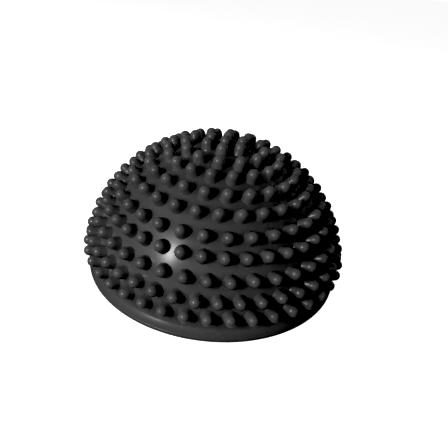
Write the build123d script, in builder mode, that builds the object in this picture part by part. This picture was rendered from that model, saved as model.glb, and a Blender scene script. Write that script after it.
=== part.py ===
from build123d import *
import math
import os

# A hollow balance dome of soft PVC, standing on its flat base. Millimetres, +Z up.
# The origin is the middle of the base's underside.

# dome
ball_centre_height = 1.2  # the skin is part of a ball whose centre is this far up
skin_radius = 77.8  # outside of the smooth skin between the nubs
dome_wall = 2.5

# nubs: lengths run from the ball's centre outwards
nub_centre_radius = 81.2  # to the middle of each nub's round end
nub_end_radius = 3.4
nub_root_radius = 3.8  # where the nub leaves the skin
nub_embed = 1.0  # how far the nub's root is buried in the wall

# each row of nubs: angle down from the pole, number of nubs, turn of the first one from -Y
nub_rows = [
    (80.0, 42, 1.5),
    (73.5, 42, 5.0),
    (65.5, 38, 0.0),
    (57.0, 37, 6.5),
    (49.5, 31, 7.5),
    (41.0, 28, 2.0),
    (33.0, 23, 6.5),
    (24.5, 18, 11.5),
    (17.0, 12, 25.0),
    (8.0, 6, -6.5),
]

# base disc: a lip that shows, and a plate inside the dome
rim_radius = 80.0
lip_height = 2.8
lip_top_round = 0.6
lip_bottom_round = 1.2
plate_gap = 0.2  # between the plate's edge and the dome's inside
plate_height = 3.8

# flare at the foot of the dome, from the skin out to the lip
flare_foot_radius = 79.8
flare_top_height = 7.4
flare_bulge_radius = 10.9
flare_crease_radius = 1.2

# grip grooves between flat rings on the underside
groove_depth = 1.2
groove_width = 3.0
groove_pitch = 7.0
first_groove_radius = 23.0
groove_count = 8

# valve: a recess in the underside, a boss inside, a rubber seat and a peg
recess_radius = 13.0
recess_height = 3.2
recess_wall = 2.5
boss_radius = 11.0
boss_top = 11.0
seat_bore_radius = 5.0
seat_play = 0.05
seat_flange_radius = 8.0
seat_flange_height = 1.2
seat_barb_radius = 6.4
seat_barb_height = 2.4
plug_bore_radius = 2.05
plug_radius = 2.0
plug_tip_round = 1.2
plug_head_radius = 6.0
plug_head_height = 1.3
plug_length = 15.0
plug_notch_radius = 1.2  # finger notches in the edge of the peg's head
plug_notch_count = 2

seat_bottom = recess_height - seat_flange_height
seat_shoulder = boss_top + seat_play
seat_top = seat_shoulder + seat_barb_height
seat_body_radius = seat_bore_radius - seat_play
plug_head_bottom = seat_bottom - plug_head_height


def radial_plane(down, turn):
    """A plane at the ball's centre that faces out along one nub."""
    polar = math.radians(down)
    azimuth = math.radians(turn - 90)
    flat = math.sin(polar)
    direction = (flat * math.cos(azimuth), flat * math.sin(azimuth), math.cos(polar))
    return Plane(origin=(0, 0, ball_centre_height), z_dir=direction)


def ball_point(radius, height):
    """The point of a ball's outline at a height above the base."""
    return (math.sqrt(radius**2 - (height - ball_centre_height) ** 2), height)


os.makedirs("parts", exist_ok=True)

# one nub, standing above the ball's centre: a tapered peg with a round end
nub_start = skin_radius - nub_embed
with BuildPart() as nub:
    with BuildSketch(Plane.XZ):
        with BuildLine():
            Line((0, nub_start), (0, nub_centre_radius + nub_end_radius))
            CenterArc((0, nub_centre_radius), nub_end_radius, 0, 90)
            taper = Line((nub_end_radius, nub_centre_radius), (nub_root_radius, skin_radius))
            buried = Line(taper @ 1, (nub_root_radius, nub_start))
            Line(buried @ 1, (0, nub_start))
        make_face()
    revolve(axis=Axis.Z)

nub_places = [radial_plane(0, 0).location]
for down, count, turn in nub_rows:
    for index in range(count):
        nub_places.append(radial_plane(down, turn + index * 360 / count).location)
print("nubs", len(nub_places))

# dome shell: half a hollow ball that flares out at its foot, with nubs all over
inner_radius = skin_radius - dome_wall
skin_foot = ball_point(skin_radius, flare_top_height)
inner_foot = ball_point(inner_radius, lip_height)
skin_top = ball_centre_height + skin_radius
inner_top = ball_centre_height + inner_radius
with BuildPart() as dome_shell:
    with BuildSketch(Plane.XZ) as dome_section:
        with BuildLine():
            Line((0, inner_top), (0, skin_top))
            RadiusArc((0, skin_top), skin_foot, skin_radius)
            flare = RadiusArc(skin_foot, (flare_foot_radius, lip_height), flare_bulge_radius)
            Line(flare @ 1, inner_foot)
            RadiusArc(inner_foot, (0, inner_top), -inner_radius)
        make_face()
        fillet(dome_section.vertices().group_by(Axis.Y)[1], flare_crease_radius)
    revolve(axis=Axis.Z)
    with Locations(*nub_places):
        add(nub.part)
dome_shell.part.label = "dome_shell"
export_step(dome_shell.part, "parts/dome_shell.step")
print("dome_shell", len(dome_shell.part.solids()), round(dome_shell.part.volume))

# base disc: lip and plate, with grip grooves below and the valve boss above
on_base = (Align.CENTER, Align.CENTER, Align.MIN)
plate_radius = inner_radius - plate_gap
with BuildPart() as base_disc:
    Cylinder(rim_radius, lip_height, align=on_base)
    fillet(base_disc.edges().group_by(Axis.Z)[-1], lip_top_round)
    fillet(base_disc.edges().group_by(Axis.Z)[0], lip_bottom_round)
    Cylinder(plate_radius, plate_height, align=on_base)
    Cylinder(recess_radius + recess_wall, recess_height + recess_wall, align=on_base)
    Cylinder(boss_radius, boss_top, align=on_base)
    for index in range(groove_count):
        inner_edge = first_groove_radius + index * groove_pitch
        with BuildSketch(Plane.XY):
            Circle(inner_edge + groove_width)
            Circle(inner_edge, mode=Mode.SUBTRACT)
        extrude(amount=groove_depth, mode=Mode.SUBTRACT)
    with BuildSketch(Plane.XY):
        Circle(recess_radius)
    extrude(amount=recess_height, mode=Mode.SUBTRACT)
    with BuildSketch(Plane.XY):
        Circle(seat_bore_radius)
    extrude(amount=boss_top, mode=Mode.SUBTRACT)
base_disc.part.label = "base_disc"
export_step(base_disc.part, "parts/base_disc.step")

# valve seat: a rubber bush with a flange below and a barb that holds it in the boss
with BuildPart() as valve_seat:
    with BuildSketch(Plane.XZ):
        with BuildLine():
            Polyline(
                (plug_bore_radius, seat_bottom),
                (seat_flange_radius, seat_bottom),
                (seat_flange_radius, recess_height),
                (seat_body_radius, recess_height),
                (seat_body_radius, seat_shoulder),
                (seat_barb_radius, seat_shoulder),
                (seat_body_radius, seat_top),
                (plug_bore_radius, seat_top),
                close=True,
            )
        make_face()
    revolve(axis=Axis.Z)
valve_seat.part.label = "valve_seat"
export_step(valve_seat.part, "parts/valve_seat.step")

# valve plug: a peg with a flat round head, notched so that a fingernail can lift it
with BuildPart() as valve_plug:
    with BuildSketch(Plane.XY.offset(plug_head_bottom)):
        Circle(plug_head_radius)
        with PolarLocations(plug_head_radius, plug_notch_count):
            Circle(plug_notch_radius, mode=Mode.SUBTRACT)
    extrude(amount=plug_head_height)
    with BuildSketch(Plane.XY.offset(seat_bottom)):
        Circle(plug_radius)
    extrude(amount=plug_length - plug_head_height)
    fillet(valve_plug.edges().group_by(Axis.Z)[-1], plug_tip_round)
valve_plug.part.label = "valve_plug"
export_step(valve_plug.part, "parts/valve_plug.step")
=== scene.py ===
import bpy
import bmesh
import math
import random
from mathutils import Matrix, Vector


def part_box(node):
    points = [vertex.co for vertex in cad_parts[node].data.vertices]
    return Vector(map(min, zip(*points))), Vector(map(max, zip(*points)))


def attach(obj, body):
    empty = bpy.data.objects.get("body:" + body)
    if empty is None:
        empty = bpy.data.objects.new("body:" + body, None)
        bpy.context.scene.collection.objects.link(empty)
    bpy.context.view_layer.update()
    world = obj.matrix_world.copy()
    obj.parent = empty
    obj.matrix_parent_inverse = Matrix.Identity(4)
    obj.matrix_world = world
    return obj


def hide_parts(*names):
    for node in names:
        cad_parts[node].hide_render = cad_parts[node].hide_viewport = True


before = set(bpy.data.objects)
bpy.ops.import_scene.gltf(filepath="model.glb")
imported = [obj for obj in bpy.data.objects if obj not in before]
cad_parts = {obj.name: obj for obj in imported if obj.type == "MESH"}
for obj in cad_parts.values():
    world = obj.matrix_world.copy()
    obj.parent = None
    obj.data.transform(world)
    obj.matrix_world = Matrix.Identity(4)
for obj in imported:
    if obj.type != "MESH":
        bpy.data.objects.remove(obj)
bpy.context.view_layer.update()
mm = 0.001
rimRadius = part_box("base_disc")[1].x
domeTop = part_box("dome_shell")[1].z
print("frame loaded, height", round(domeTop / mm, 1), "mm")

# mesh settings that every piece shares, angles in degrees
meshing = {
    "weld": 0.0005 * mm,
    "smoothBelow": 35,
    "roundAbove": 40,
    "roundSegments": 2,
}


def arcPoints(centre, radius, start, end, count):
    # points on an arc in the (radius, height) plane, angles in degrees from the horizontal
    points = []
    for step in range(count + 1):
        angle = math.radians(start + (end - start) * step / count)
        points.append((centre[0] + radius * math.cos(angle), centre[1] + radius * math.sin(angle)))
    return points


def spinProfile(bm, points, steps, closed=False):
    # turns an outline of (radius, height) points once round the Z axis
    verts = [bm.verts.new((r, 0, z)) for r, z in points]
    edges = [bm.edges.new(pair) for pair in zip(verts, verts[1:])]
    if closed:
        edges.append(bm.edges.new((verts[-1], verts[0])))
    bmesh.ops.spin(bm, geom=verts + edges, cent=(0, 0, 0), axis=(0, 0, 1),
                   angle=math.tau, steps=steps, use_merge=True)
    bmesh.ops.remove_doubles(bm, verts=bm.verts, dist=meshing["weld"])
    strays = [e for e in bm.edges if e.is_wire]  # an edge that lies on the axis sweeps no face
    bmesh.ops.delete(bm, geom=strays, context="EDGES")
    bmesh.ops.recalc_face_normals(bm, faces=bm.faces)


def roundSharpEdges(bm, width):
    limit = math.radians(meshing["roundAbove"])
    sharp = [e for e in bm.edges if e.is_manifold and e.calc_face_angle(0) > limit]
    bmesh.ops.bevel(bm, geom=sharp, offset=width, offset_type="OFFSET", affect="EDGES",
                    segments=meshing["roundSegments"], profile=0.5, material=-1, clamp_overlap=True)


def makePiece(name, bm, material, body):
    mesh = bpy.data.meshes.new(name)
    bm.to_mesh(mesh)
    bm.free()
    mesh.polygons.foreach_set("use_smooth", [True] * len(mesh.polygons))
    mesh.set_sharp_from_angle(angle=math.radians(meshing["smoothBelow"]))
    mesh.materials.append(material)
    piece = bpy.data.objects.new(name, mesh)
    bpy.context.scene.collection.objects.link(piece)
    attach(piece, body)
    return piece


def newGroup(name, inputs, outputs):
    group = bpy.data.node_groups.new(name, "ShaderNodeTree")
    for label, value in inputs.items():
        socket = group.interface.new_socket(label, in_out="INPUT", socket_type="NodeSocketFloat")
        socket.default_value = value
    for label in outputs:
        group.interface.new_socket(label, in_out="OUTPUT", socket_type="NodeSocketFloat")
    return group, group.nodes.new("NodeGroupInput"), group.nodes.new("NodeGroupOutput")


def setOrLink(tree, value, socket):
    if isinstance(value, (int, float)):
        socket.default_value = value
    else:
        tree.links.new(value, socket)


def mathNode(tree, operation, first, second=0.0, clamp=False):
    node = tree.nodes.new("ShaderNodeMath")
    node.operation = operation
    node.use_clamp = clamp
    setOrLink(tree, first, node.inputs[0])
    setOrLink(tree, second, node.inputs[1])
    return node.outputs[0]


def noiseNode(tree, scale, noise, vector=None):
    node = tree.nodes.new("ShaderNodeTexNoise")
    detail, roughness = noise
    node.inputs["Detail"].default_value = detail
    node.inputs["Roughness"].default_value = roughness
    setOrLink(tree, scale, node.inputs["Scale"])
    if vector is None:
        vector = tree.nodes.new("ShaderNodeTexCoord").outputs["Object"]
    tree.links.new(vector, node.inputs["Vector"])
    return node.outputs["Fac"]


def rangeNode(tree, value, source, target=(0.0, 1.0)):
    node = tree.nodes.new("ShaderNodeMapRange")
    node.interpolation_type = "SMOOTHSTEP"
    for label, number in zip(("From Min", "From Max", "To Min", "To Max"), (*source, *target)):
        node.inputs[label].default_value = number
    tree.links.new(value, node.inputs["Value"])
    return node.outputs["Result"]


# soft PVC out of a sand-blasted mould: slow waves, orange peel and a fine grain
mouldLook = {
    "inputs": {"Wave Scale": 60.0, "Peel Scale": 420.0, "Grain Scale": 2600.0,
               "Wave": 1.0, "Peel": 0.2, "Grain": 0.05},
    "waveNoise": (1.0, 0.4),
    "peelNoise": (2.0, 0.5),
    "grainNoise": (2.0, 0.6),
    "blotchRange": (0.35, 0.65),
}


def makeMouldedSkin():
    group, entry, result = newGroup("mouldedSkin", mouldLook["inputs"], ["Height", "Blotch"])
    waves = noiseNode(group, entry.outputs["Wave Scale"], mouldLook["waveNoise"])
    peel = noiseNode(group, entry.outputs["Peel Scale"], mouldLook["peelNoise"])
    grain = noiseNode(group, entry.outputs["Grain Scale"], mouldLook["grainNoise"])
    height = mathNode(group, "MULTIPLY", waves, entry.outputs["Wave"])
    height = mathNode(group, "ADD", height, mathNode(group, "MULTIPLY", peel, entry.outputs["Peel"]))
    height = mathNode(group, "ADD", height, mathNode(group, "MULTIPLY", grain, entry.outputs["Grain"]))
    group.links.new(height, result.inputs["Height"])
    group.links.new(rangeNode(group, waves, mouldLook["blotchRange"]), result.inputs["Blotch"])
    return group


# specks and a thin film that settle on faces that look up
dustLook = {
    "inputs": {"Amount": 0.3, "Speck Scale": 900.0},
    "speckNoise": (1.0, 0.4),
    "speckRange": (0.68, 0.76),
    "filmScale": 45.0,
    "filmNoise": (4.0, 0.6),
    "filmRange": (0.4, 0.75),
    "filmShare": (0.0, 0.5),
    "upRange": (-0.2, 1.0),
    "upShare": (0.15, 1.0),
}


def makeDust():
    group, entry, result = newGroup("settledDust", dustLook["inputs"], ["Mask"])
    normal = group.nodes.new("ShaderNodeNewGeometry").outputs["Normal"]
    split = group.nodes.new("ShaderNodeSeparateXYZ")
    group.links.new(normal, split.inputs[0])
    upward = rangeNode(group, split.outputs["Z"], dustLook["upRange"], dustLook["upShare"])
    specks = noiseNode(group, entry.outputs["Speck Scale"], dustLook["speckNoise"])
    specks = rangeNode(group, specks, dustLook["speckRange"])
    film = noiseNode(group, dustLook["filmScale"], dustLook["filmNoise"])
    film = rangeNode(group, film, dustLook["filmRange"], dustLook["filmShare"])
    mask = mathNode(group, "MAXIMUM", specks, film)
    mask = mathNode(group, "MULTIPLY", mask, upward)
    mask = mathNode(group, "MULTIPLY", mask, entry.outputs["Amount"], clamp=True)
    group.links.new(mask, result.inputs["Mask"])
    return group


# short rubbed marks that run round the piece
rubLook = {
    "inputs": {"Amount": 0.4, "Fineness": 1.0},
    "aroundScale": 9.0,
    "climbScale": 1600.0,
    "streakScale": 1.4,
    "streakNoise": (3.0, 0.6),
    "streakRange": (0.56, 0.7),
    "patchScale": 35.0,
    "patchNoise": (2.0, 0.5),
    "patchRange": (0.45, 0.7),
}


def makeRubMarks():
    group, entry, result = newGroup("rubMarks", rubLook["inputs"], ["Mask"])
    coordinate = group.nodes.new("ShaderNodeTexCoord").outputs["Object"]
    split = group.nodes.new("ShaderNodeSeparateXYZ")
    group.links.new(coordinate, split.inputs[0])
    turn = mathNode(group, "ARCTAN2", split.outputs["Y"], split.outputs["X"])
    around = group.nodes.new("ShaderNodeCombineXYZ")
    for axis, operation in (("X", "SINE"), ("Y", "COSINE")):
        swing = mathNode(group, "MULTIPLY", mathNode(group, operation, turn), rubLook["aroundScale"])
        group.links.new(swing, around.inputs[axis])
    climb = mathNode(group, "MULTIPLY", split.outputs["Z"], rubLook["climbScale"])
    group.links.new(mathNode(group, "MULTIPLY", climb, entry.outputs["Fineness"]), around.inputs["Z"])
    streaks = noiseNode(group, rubLook["streakScale"], rubLook["streakNoise"], around.outputs[0])
    patches = noiseNode(group, rubLook["patchScale"], rubLook["patchNoise"])
    patches = rangeNode(group, patches, rubLook["patchRange"])
    mask = mathNode(group, "MULTIPLY", rangeNode(group, streaks, rubLook["streakRange"]), patches)
    mask = mathNode(group, "MULTIPLY", mask, entry.outputs["Amount"], clamp=True)
    group.links.new(mask, result.inputs["Mask"])
    return group


mouldedSkin = makeMouldedSkin()
settledDust = makeDust()
rubMarks = makeRubMarks()

finishes = {
    "domePvc": {
        "color": (0.070, 0.070, 0.0705), "dustColor": (0.14, 0.139, 0.137), "rubAndTipHighlightColor": (0.095, 0.095, 0.095),
        "roughness": 0.25, "roughSpread": 0.05, "specular": 0.42, "dust": 0.12, "rub": 0.25,
        "wave": 1.0, "peel": 0.16, "grain": 0.03, "bump": 0.25, "depth": 0.12 * mm,
    },
    "basePvc": {
        "color": (0.062, 0.062, 0.0625), "dustColor": (0.11, 0.108, 0.105), "rubAndTipHighlightColor": (0.1, 0.1, 0.1),
        "roughness": 0.32, "roughSpread": 0.08, "specular": 0.5, "dust": 0.25, "rub": 0.55,
        "wave": 0.8, "peel": 0.25, "grain": 0.06, "bump": 0.3, "depth": 0.12 * mm,
    },
    "valveRubber": {
        "color": (0.042, 0.042, 0.042), "dustColor": (0.09, 0.088, 0.085), "rubAndTipHighlightColor": (0.05, 0.05, 0.05),
        "roughness": 0.62, "roughSpread": 0.1, "specular": 0.4, "dust": 0.35, "rub": 0.3,
        "wave": 0.5, "peel": 0.3, "grain": 0.15, "bump": 0.35, "depth": 0.1 * mm,
    },
    "plugPlastic": {
        "color": (0.048, 0.048, 0.05), "dustColor": (0.09, 0.088, 0.085), "rubAndTipHighlightColor": (0.07, 0.07, 0.07),
        "roughness": 0.34, "roughSpread": 0.06, "specular": 0.5, "dust": 0.2, "rub": 0.5,
        "wave": 0.3, "peel": 0.12, "grain": 0.05, "bump": 0.2, "depth": 0.08 * mm,
    },
}

# how far wear changes a finish, and what sets the nubs apart from the skin; the paler nub tip is partly
# handling wear and partly a painted highlight
wear = {
    "rubRoughness": 0.15,
    "dustRoughness": 0.4,
    "nubLightest": 1.25,  # the lightest nub's colour against the skin's
    "nubRoughness": 0.03,
    # tips paler towards the end: partly handling wear, partly a painted highlight where the nub ends catch
    # the light
    "tipPaleWornAndHighlight": 0.5,
    "tipSmoother": 0.04,
}


def placeGroup(tree, group, values):
    node = tree.nodes.new("ShaderNodeGroup")
    node.node_tree = group
    for label, value in values.items():
        node.inputs[label].default_value = value
    return node


def mixColor(tree, mask, first, second):
    node = tree.nodes.new("ShaderNodeMix")
    node.data_type = "RGBA"
    tree.links.new(mask, node.inputs["Factor"])
    for label, value in (("A", first), ("B", second)):
        socket = [s for s in node.inputs if s.name == label and s.type == "RGBA"][0]
        if isinstance(value, tuple):
            socket.default_value = (*value, 1)
        else:
            tree.links.new(value, socket)
    return [s for s in node.outputs if s.type == "RGBA"][0]


def readAttribute(tree, name):
    node = tree.nodes.new("ShaderNodeAttribute")
    node.attribute_name = name
    return node.outputs["Fac"]


def makeFinish(name, forNubs=False):
    values = finishes[name]
    material = bpy.data.materials.new(name + ("Nubs" if forNubs else ""))
    material.use_nodes = True
    tree = material.node_tree
    shader = tree.nodes["Principled BSDF"]
    shader.inputs["Specular IOR Level"].default_value = values["specular"]
    relief = {"Wave": values["wave"], "Peel": values["peel"], "Grain": values["grain"]}
    skin = placeGroup(tree, mouldedSkin, relief)
    dust = placeGroup(tree, settledDust, {"Amount": values["dust"]}).outputs["Mask"]
    rub = placeGroup(tree, rubMarks, {"Amount": values["rub"]}).outputs["Mask"]
    color = values["color"]
    rough = mathNode(tree, "MULTIPLY", skin.outputs["Blotch"], values["roughSpread"])
    rough = mathNode(tree, "ADD", rough, values["roughness"])
    if forNubs:  # each nub has its own slight tone; its handled tip is a little smoother, and paler partly from handling and partly as a painted highlight on the nub end
        tone = readAttribute(tree, "nubTone")
        tip = readAttribute(tree, "nubTip")
        color = mixColor(tree, tone, color, tuple(c * wear["nubLightest"] for c in color))
        # painted highlight: the nub grows paler towards its end, partly as wear and partly standing in for
        # light caught by the ends
        color = mixColor(tree, mathNode(tree, "MULTIPLY", tip, wear["tipPaleWornAndHighlight"]), color, values["rubAndTipHighlightColor"])
        rough = mathNode(tree, "SUBTRACT", rough, mathNode(tree, "MULTIPLY", tip, wear["tipSmoother"]))
        rough = mathNode(tree, "ADD", rough, mathNode(tree, "MULTIPLY", tone, wear["nubRoughness"]))
    color = mixColor(tree, rub, color, values["rubAndTipHighlightColor"])
    color = mixColor(tree, dust, color, values["dustColor"])
    tree.links.new(color, shader.inputs["Base Color"])
    rough = mathNode(tree, "ADD", rough, mathNode(tree, "MULTIPLY", rub, wear["rubRoughness"]))
    dusty = mathNode(tree, "MULTIPLY", dust, wear["dustRoughness"])
    tree.links.new(mathNode(tree, "ADD", rough, dusty, clamp=True), shader.inputs["Roughness"])
    bump = tree.nodes.new("ShaderNodeBump")
    bump.inputs["Strength"].default_value = values["bump"]
    bump.inputs["Distance"].default_value = values["depth"]
    tree.links.new(skin.outputs["Height"], bump.inputs["Height"])
    tree.links.new(bump.outputs["Normal"], shader.inputs["Normal"])
    return material


domePvc = makeFinish("domePvc")
nubPvc = makeFinish("domePvc", forNubs=True)
basePvc = makeFinish("basePvc")
valveRubber = makeFinish("valveRubber")
plugPlastic = makeFinish("plugPlastic")
print("finishes made")

# dome skin: a hollow half ball that flares out at its foot
dome = {
    "ballCentre": 1.2 * mm,  # height of the ball's centre above the base
    "skinRadius": 77.8 * mm,
    "wall": 2.5 * mm,
    "flareTop": 7.4 * mm,
    "flareFoot": 79.8 * mm,
    "flareBulge": 0.3 * mm,  # how far the flare's middle swells out from a straight cone
    "flareRows": 10,
    "footTuck": 0.25 * mm,  # the foot's edge turns in by this much
    "footRise": 0.14 * mm,  # over this height
    "creaseWidth": 1.1 * mm,
    "creaseRows": 6,
    "lipTop": 2.8 * mm,
    "steps": 224,
    "skinRings": 56,
    "innerRings": 20,
}


def flareProfile(corner):
    # from the foot up to the corner on the skin, swelling most half way
    foot = Vector((dome["flareFoot"], dome["lipTop"]))
    outward = Vector((corner.y - foot.y, foot.x - corner.x)).normalized()
    points = [(foot.x - dome["footTuck"], foot.y), (foot.x, foot.y + dome["footRise"])]
    for step in range(1, dome["flareRows"]):
        part = step / dome["flareRows"]
        swell = 4 * part * (1 - part) * dome["flareBulge"]
        points.append(tuple(foot.lerp(corner, part) + outward * swell))
    return points


def softenCrease(points, corner):
    # a short curve in place of the corner between the flare and the skin, and where on the skin it ends
    before = corner + (Vector(points[-1]) - corner).normalized() * dome["creaseWidth"]
    start = math.atan2(corner.y - dome["ballCentre"], corner.x) + dome["creaseWidth"] / dome["skinRadius"]
    after = Vector((math.cos(start), math.sin(start))) * dome["skinRadius"] + Vector((0, dome["ballCentre"]))
    curve = []
    for step in range(dome["creaseRows"] + 1):
        part = step / dome["creaseRows"]
        curve.append(tuple(before * (1 - part) ** 2 + corner * 2 * part * (1 - part) + after * part ** 2))
    below = [p for p in points if p[1] < before.y]
    return below + curve, math.degrees(start)


def makeDomeSkin():
    centre = (0, dome["ballCentre"])
    radius = dome["skinRadius"]
    innerRadius = radius - dome["wall"]
    flareHeight = dome["flareTop"] - dome["ballCentre"]
    corner = Vector((math.sqrt(radius ** 2 - flareHeight ** 2), dome["flareTop"]))
    outline, skinStart = softenCrease(flareProfile(corner), corner)
    outline += arcPoints(centre, radius, skinStart, 90, dome["skinRings"])[1:]
    innerFoot = math.degrees(math.asin((dome["lipTop"] - dome["ballCentre"]) / innerRadius))
    outline += arcPoints(centre, innerRadius, 90, innerFoot, dome["innerRings"])
    bm = bmesh.new()
    spinProfile(bm, outline, dome["steps"], closed=True)
    return makePiece("domeSkin", bm, domePvc, "pod")


domeSkin = makeDomeSkin()
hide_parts("dome_shell")
print("dome skin made,", len(domeSkin.data.polygons), "faces")

# nubs: rounded pegs in rings from the foot to the top
nubs = {
    "endCentre": 81.2 * mm,  # from the ball's centre to the middle of the round end
    "endRadius": 3.4 * mm,
    "endBands": 3,
    "rootRadius": 3.75 * mm,
    "footSpread": 0.5 * mm,
    "footRise": 0.75 * mm,
    "footSink": 0.06 * mm,
    "buried": 1.0 * mm,
    "sides": 12,
    "lean": 0.3,  # greatest lean of one nub towards the top, degrees
    "seed": 5,
    # each row: angle down from the top, number of nubs, turn of the first one from -Y
    "rows": [(80.0, 42, 1.5), (73.5, 42, 5.0), (65.5, 38, 0.0), (57.0, 37, 6.5), (49.5, 31, 7.5),
             (41.0, 28, 2.0), (33.0, 23, 6.5), (24.5, 18, 11.5), (17.0, 12, 25.0), (8.0, 6, -6.5)],
}


def nubProfile():
    skin = dome["skinRadius"]
    outer = nubs["rootRadius"] + nubs["footSpread"]
    sag = skin - math.sqrt(skin ** 2 - outer ** 2)  # how far the ball falls away at the foot's edge
    points = [(0, skin - nubs["buried"]), (outer, skin - sag - nubs["footSink"]),
              (nubs["rootRadius"], skin + nubs["footRise"])]
    return points + arcPoints((0, nubs["endCentre"]), nubs["endRadius"], 0, 90, nubs["endBands"])


def onlyVerts(geometry):
    return [g for g in geometry if isinstance(g, bmesh.types.BMVert)]


def makeNubs():
    rand = random.Random(nubs["seed"])
    bm = bmesh.new()
    tone = bm.verts.layers.float.new("nubTone")
    tip = bm.verts.layers.float.new("nubTip")
    spinProfile(bm, nubProfile(), nubs["sides"])
    rise = nubs["endCentre"] + nubs["endRadius"] - dome["skinRadius"]
    for vert in bm.verts:
        # tip weight grows towards the nub's end; it drives the smoother tip and the paler tip, which is
        # partly a painted highlight
        vert[tip] = min(1, max(0, (vert.co.z - dome["skinRadius"]) / rise)) ** 2
    pattern = list(bm.verts) + list(bm.edges) + list(bm.faces)
    lift = Matrix.Translation((0, 0, dome["ballCentre"]))
    for down, count, turn in nubs["rows"]:
        for index in range(count):
            verts = onlyVerts(bmesh.ops.duplicate(bm, geom=pattern)["geom"])
            angle = math.radians(turn + index * 360 / count)
            lean = -math.radians(rand.uniform(0, nubs["lean"]))
            spinOwn = Matrix.Rotation(rand.uniform(0, math.tau), 4, "Z")
            place = Matrix.Rotation(angle, 4, "Z") @ Matrix.Rotation(math.radians(down) + lean, 4, "X")
            bmesh.ops.transform(bm, matrix=lift @ place @ spinOwn, verts=verts)
            shade = rand.random()
            for vert in verts:
                vert[tone] = shade
    bmesh.ops.transform(bm, matrix=lift, verts=onlyVerts(pattern))  # the first one is the nub on top
    bmesh.ops.recalc_face_normals(bm, faces=bm.faces)
    return makePiece("domeNubs", bm, nubPvc, "pod")


domeNubs = makeNubs()
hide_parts("dome_shell")
print("nubs made,", len(domeNubs.data.polygons), "faces")

# base disc: lip, grip rings, valve recess and boss
base = {
    "lipTopRound": 0.6 * mm,
    "lipTopBands": 5,
    "lipBottomRound": 1.2 * mm,
    "lipBottomBands": 6,
    "plateRadius": 75.1 * mm,
    "plateHeight": 3.8 * mm,
    "grooveDepth": 1.2 * mm,
    "grooveWidth": 3.0 * mm,
    "groovePitch": 7.0 * mm,
    "firstGroove": 23.0 * mm,
    "grooveCount": 8,
    "recessRadius": 13.0 * mm,
    "recessHeight": 3.2 * mm,
    "recessWall": 2.5 * mm,
    "boreRadius": 5.0 * mm,
    "bossRadius": 11.0 * mm,
    "edgeRound": 0.3 * mm,
    "steps": 176,
}


def baseProfile():
    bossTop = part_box("base_disc")[1].z
    lipTop = dome["lipTop"]
    bottom = base["lipBottomRound"]
    top = base["lipTopRound"]
    points = [(base["boreRadius"], base["recessHeight"]), (base["recessRadius"], base["recessHeight"]),
              (base["recessRadius"], 0)]
    for index in range(base["grooveCount"]):
        inner = base["firstGroove"] + index * base["groovePitch"]
        outer = inner + base["grooveWidth"]
        points += [(inner, 0), (inner, base["grooveDepth"]), (outer, base["grooveDepth"]), (outer, 0)]
    points += arcPoints((rimRadius - bottom, bottom), bottom, -90, 0, base["lipBottomBands"])
    points += arcPoints((rimRadius - top, lipTop - top), top, 0, 90, base["lipTopBands"])
    collar = base["recessRadius"] + base["recessWall"]
    collarTop = base["recessHeight"] + base["recessWall"]
    points += [(base["plateRadius"], lipTop), (base["plateRadius"], base["plateHeight"]),
               (collar, base["plateHeight"]), (collar, collarTop), (base["bossRadius"], collarTop),
               (base["bossRadius"], bossTop), (base["boreRadius"], bossTop)]
    return points


def makeBaseDisc():
    bm = bmesh.new()
    spinProfile(bm, baseProfile(), base["steps"], closed=True)
    roundSharpEdges(bm, base["edgeRound"])
    bmesh.ops.recalc_face_normals(bm, faces=bm.faces)
    return makePiece("baseDisc", bm, basePvc, "pod")


baseDisc = makeBaseDisc()
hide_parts("base_disc")
print("base disc made,", len(baseDisc.data.polygons), "faces")

# valve seat: a rubber bush held in the boss
seat = {
    "boreRadius": 2.05 * mm,
    "bodyRadius": 4.95 * mm,
    "flangeRadius": 8.0 * mm,
    "flangeHeight": 1.2 * mm,
    "barbRadius": 6.4 * mm,
    "barbHeight": 2.4 * mm,
    "edgeRound": 0.2 * mm,
    "steps": 72,
}


def makeValveSeat():
    low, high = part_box("valve_seat")
    flangeTop = low.z + seat["flangeHeight"]
    shoulder = high.z - seat["barbHeight"]
    points = [(seat["boreRadius"], low.z), (seat["flangeRadius"], low.z), (seat["flangeRadius"], flangeTop),
              (seat["bodyRadius"], flangeTop), (seat["bodyRadius"], shoulder), (seat["barbRadius"], shoulder),
              (seat["bodyRadius"], high.z), (seat["boreRadius"], high.z)]
    bm = bmesh.new()
    spinProfile(bm, points, seat["steps"], closed=True)
    roundSharpEdges(bm, seat["edgeRound"])
    bmesh.ops.recalc_face_normals(bm, faces=bm.faces)
    return makePiece("valveSeat", bm, valveRubber, "pod")


valveSeat = makeValveSeat()
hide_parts("valve_seat")
print("valve seat made")

# valve plug: the peg that closes the seat, with a dished head
plug = {
    "radius": 2.0 * mm,
    "tipRound": 1.2 * mm,
    "tipBands": 6,
    "headRadius": 6.0 * mm,
    "headHeight": 1.3 * mm,
    "headSides": 144,
    "notchRadius": 1.2 * mm,
    "dish": 0.25 * mm,
    "dishRim": 0.9 * mm,
    "edgeRound": 0.25 * mm,
    "steps": 72,
}


def notchedCircle(bm, height):
    # a round outline with two finger notches, on the X axis
    made = bmesh.ops.create_circle(bm, cap_ends=True, segments=plug["headSides"], radius=plug["headRadius"])
    for vert in made["verts"]:
        centre = Vector((math.copysign(plug["headRadius"], vert.co.x), 0, 0))
        if (vert.co - centre).length < plug["notchRadius"]:
            inward = math.sqrt(plug["notchRadius"] ** 2 - vert.co.y ** 2)
            vert.co.x = centre.x - math.copysign(inward, vert.co.x)
        vert.co.z = height


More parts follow.
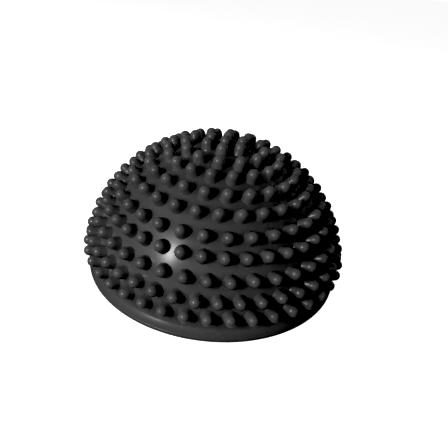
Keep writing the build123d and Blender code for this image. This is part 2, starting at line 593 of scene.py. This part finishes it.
def addHead(bm, bottom):
    notchedCircle(bm, bottom)
    raised = onlyVerts(bmesh.ops.extrude_face_region(bm, geom=list(bm.faces))["geom"])
    bmesh.ops.translate(bm, vec=(0, 0, plug["headHeight"]), verts=raised)
    bmesh.ops.recalc_face_normals(bm, faces=bm.faces)
    under = [min(bm.faces, key=lambda f: f.calc_center_median().z)]
    bmesh.ops.inset_region(bm, faces=under, thickness=plug["dishRim"], depth=0, use_even_offset=True)
    dished = list({v for f in under for v in f.verts})
    bmesh.ops.translate(bm, vec=(0, 0, plug["dish"]), verts=dished)
    roundSharpEdges(bm, plug["edgeRound"])


def addStem(bm, bottom, top):
    # made apart and added, so that welding it leaves the head alone
    outline = [(0, bottom), (plug["radius"], bottom)]
    outline += arcPoints((plug["radius"] - plug["tipRound"], top - plug["tipRound"]), plug["tipRound"],
                         0, 90, plug["tipBands"])
    outline.append((0, top))
    peg = bmesh.new()
    spinProfile(peg, outline, plug["steps"])
    carrier = bpy.data.meshes.new("pegStem")
    peg.to_mesh(carrier)
    peg.free()
    bm.from_mesh(carrier)
    bpy.data.meshes.remove(carrier)


def makeValvePlug():
    low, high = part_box("valve_plug")
    bm = bmesh.new()
    addHead(bm, low.z)
    addStem(bm, low.z + plug["headHeight"] / 2, high.z)
    return makePiece("valvePlug", bm, plugPlastic, "plug")


valvePlug = makeValvePlug()
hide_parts("valve_plug")
print("valve plug made")

stage = {
    "size": 6.0,
    "gap": 0.1 * mm,  # the floor lies this far under the base
    "color": (0.9, 0.9, 0.9),
    "roughness": 0.9,
    "glow": 0.95,
    "worldSeen": 1.1,
    "worldLight": 0.004,
    "blackLevel": 0.036,
}

# each lamp: turn from -Y towards +X and rise above the floor in degrees, distance and size in metres, watts
lamps = {
    "aim": 30 * mm,  # above the ball's centre
    "glinting": ["keyLamp"],  # the others give no gloss spots
    "placed": [
        {"name": "keyLamp", "turn": -40, "rise": 24, "distance": 0.9, "size": (0.08, 0.2), "power": 3.3},
        {"name": "softLamp", "turn": -60, "rise": 26, "distance": 0.9, "size": (0.7, 0.6), "power": 5.4},
        {"name": "fillLamp", "turn": -6, "rise": 22, "distance": 0.9, "size": (0.4, 0.3), "power": 2.0},
        {"name": "sideLamp", "turn": 38, "rise": 16, "distance": 0.9, "size": (0.5, 0.3), "power": 1.5},
        {"name": "rearLamp", "turn": 142, "rise": 24, "distance": 0.9, "size": (0.8, 0.5), "power": 6.0},
        {"name": "leftRearLamp", "turn": -160, "rise": 24, "distance": 0.9, "size": (0.8, 0.5), "power": 4.5},
        {"name": "underLamp", "turn": 0, "rise": -89, "distance": 0.5, "size": (0.1, 0.1), "power": 6.0},
        {"name": "backLamp", "turn": 165, "rise": 16, "distance": 0.9, "size": (0.5, 0.25), "power": 0.8},
    ],
}

# back, right and up are how far the camera sits from the ball's centre along its own axes
camera = {
    "rise": 30.07,
    "roll": 6.8,
    "lens": 36.62,
    "sensor": 36,
    "clipStart": 0.01,
    "back": 307.6 * mm,
    "right": 7.26 * mm,
    "up": 21.13 * mm,
}


def direction(turn, rise):
    turn, rise = math.radians(turn), math.radians(rise)
    return Vector((math.sin(turn) * math.cos(rise), -math.cos(turn) * math.cos(rise), math.sin(rise)))


def makeFloorFinish():
    # pale from above, clear from below
    material = bpy.data.materials.new("paleFloor")
    material.use_nodes = True
    tree = material.node_tree
    shader = tree.nodes["Principled BSDF"]
    shader.inputs["Base Color"].default_value = (*stage["color"], 1)
    shader.inputs["Roughness"].default_value = stage["roughness"]
    shader.inputs["Emission Color"].default_value = (1, 1, 1, 1)
    shader.inputs["Emission Strength"].default_value = stage["glow"]
    clear = tree.nodes.new("ShaderNodeBsdfTransparent")
    fromBelow = tree.nodes.new("ShaderNodeNewGeometry").outputs["Backfacing"]
    chooser = tree.nodes.new("ShaderNodeMixShader")
    tree.links.new(fromBelow, chooser.inputs["Fac"])
    tree.links.new(shader.outputs["BSDF"], chooser.inputs[1])
    tree.links.new(clear.outputs["BSDF"], chooser.inputs[2])
    tree.links.new(chooser.outputs["Shader"], tree.nodes["Material Output"].inputs["Surface"])
    return material


def makeFloor():
    bm = bmesh.new()
    bmesh.ops.create_grid(bm, x_segments=1, y_segments=1, size=stage["size"])
    mesh = bpy.data.meshes.new("floor")
    bm.to_mesh(mesh)
    bm.free()
    mesh.materials.append(makeFloorFinish())
    floor = bpy.data.objects.new("floor", mesh)
    floor.location.z = -stage["gap"]
    floor.visible_shadow = False  # the lamp below reaches the underside
    floor.visible_diffuse = False  # the floor throws no light back up at the dome
    floor.visible_glossy = False
    bpy.context.scene.collection.objects.link(floor)


def makeWorld():
    # bright behind the dome, and nearly no light of its own
    world = bpy.data.worlds.new("paleRoom")
    world.use_nodes = True
    tree = world.node_tree
    background = tree.nodes["Background"]
    background.inputs["Color"].default_value = (1, 1, 1, 1)
    seen = tree.nodes.new("ShaderNodeLightPath").outputs["Is Camera Ray"]
    strength = mathNode(tree, "MULTIPLY", seen, stage["worldSeen"] - stage["worldLight"])
    strength = mathNode(tree, "ADD", strength, stage["worldLight"])
    tree.links.new(strength, background.inputs["Strength"])
    bpy.context.scene.world = world


def makeLamps():
    target = Vector((0, 0, dome["ballCentre"] + lamps["aim"]))
    for lamp in lamps["placed"]:
        data = bpy.data.lights.new(lamp["name"], "AREA")
        data.shape = "RECTANGLE"
        data.size, data.size_y = lamp["size"]
        data.energy = lamp["power"]
        away = direction(lamp["turn"], lamp["rise"])
        light = bpy.data.objects.new(lamp["name"], data)
        light.location = target + away * lamp["distance"]
        light.rotation_euler = away.to_track_quat("Z", "Y").to_euler()
        light.visible_glossy = lamp["name"] in lamps["glinting"]
        bpy.context.scene.collection.objects.link(light)


def makeCamera():
    away = direction(0, camera["rise"])
    level = Vector((1, 0, 0))
    upright = away.cross(level)
    roll = math.radians(camera["roll"])
    right = level * math.cos(roll) + upright * math.sin(roll)
    up = away.cross(right)
    data = bpy.data.cameras.new("viewLens")
    data.lens = camera["lens"]
    data.sensor_width = camera["sensor"]
    data.clip_start = camera["clipStart"]
    eye = bpy.data.objects.new("viewCamera", data)
    spot = right * camera["right"] + up * camera["up"] + away * camera["back"]
    turned = Matrix((right, up, away)).transposed().to_4x4()
    eye.matrix_world = Matrix.Translation(spot + Vector((0, 0, dome["ballCentre"]))) @ turned
    bpy.context.scene.collection.objects.link(eye)
    bpy.context.scene.camera = eye


makeFloor()
makeWorld()
makeLamps()
makeCamera()
picture = bpy.context.scene.view_settings
picture.view_transform = "Standard"
picture.use_curve_mapping = True  # a little more contrast: the deepest shade goes to black
picture.curve_mapping.black_level = [stage["blackLevel"]] * 3
picture.curve_mapping.update()
print("stage, lamps and camera made")
